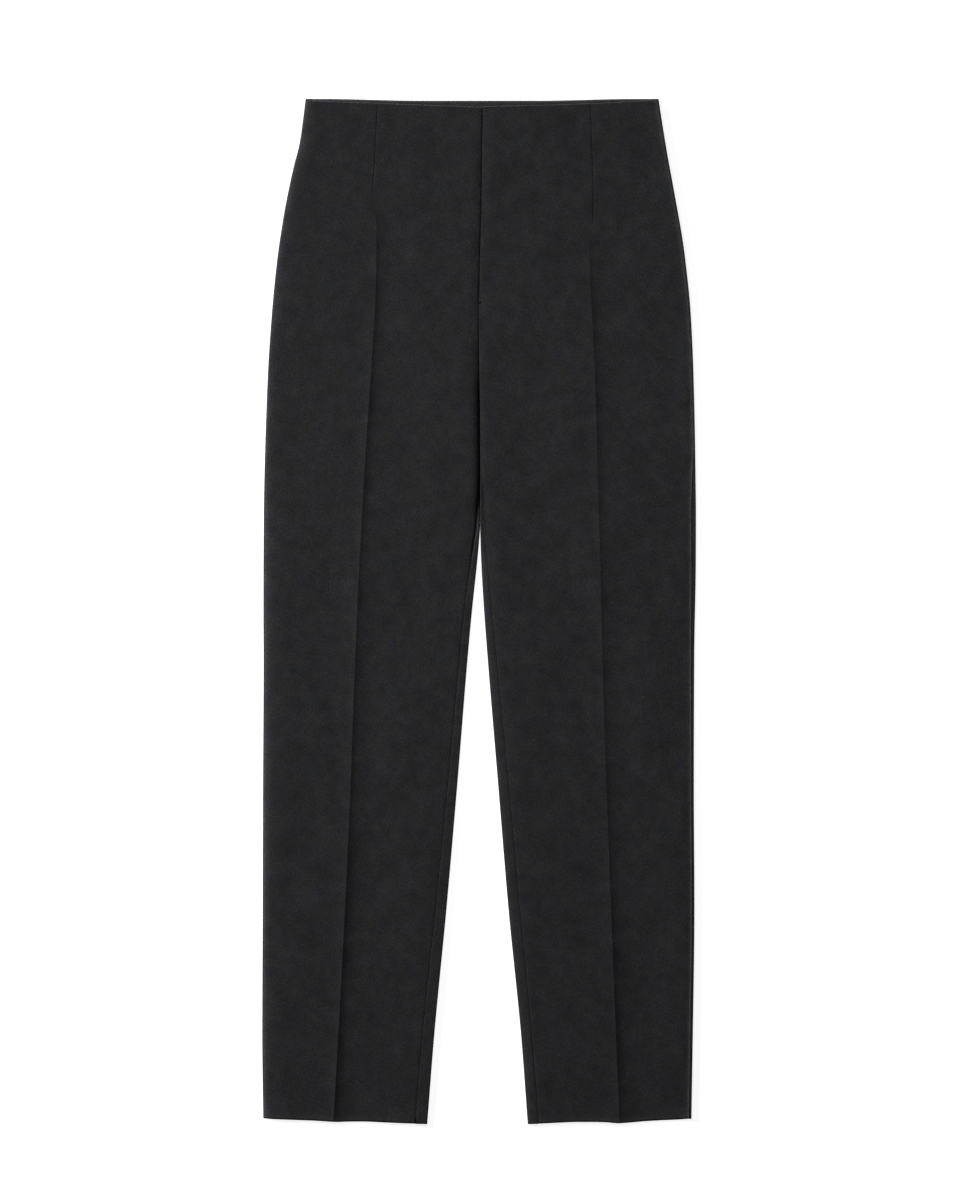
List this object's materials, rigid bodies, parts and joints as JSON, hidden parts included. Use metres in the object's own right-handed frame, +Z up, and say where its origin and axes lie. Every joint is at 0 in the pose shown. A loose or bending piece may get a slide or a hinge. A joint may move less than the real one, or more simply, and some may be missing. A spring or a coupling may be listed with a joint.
{
  "type": "suit trousers",
  "caption": "Slim high-waisted suit trousers laid flat and face up, with waist darts, pressed creases and plain hems.",
  "frame": {"origin": "on the surface the garment lies on, under the middle of its bounding box", "axes": "+X towards the wearer's left side, +Y from the hems towards the waist, +Z up out of the front of the garment"},
  "size_m": [0.4336, 1.0247, 0.0065],
  "materials": {
    "suiting": "matt woven suiting with a fine mottled weave",
    "facing_cloth": "matt woven suiting, the inside of the waist",
    "zip_tape": "matt woven tape with a plastic coil"
  },
  "bodies": {
    "root": {"front_right": "suiting", "front_left": "suiting", "back_right": "suiting", "back_left": "suiting", "facing_back": "facing_cloth", "zip": "zip_tape"}
  },
  "joints": []
}
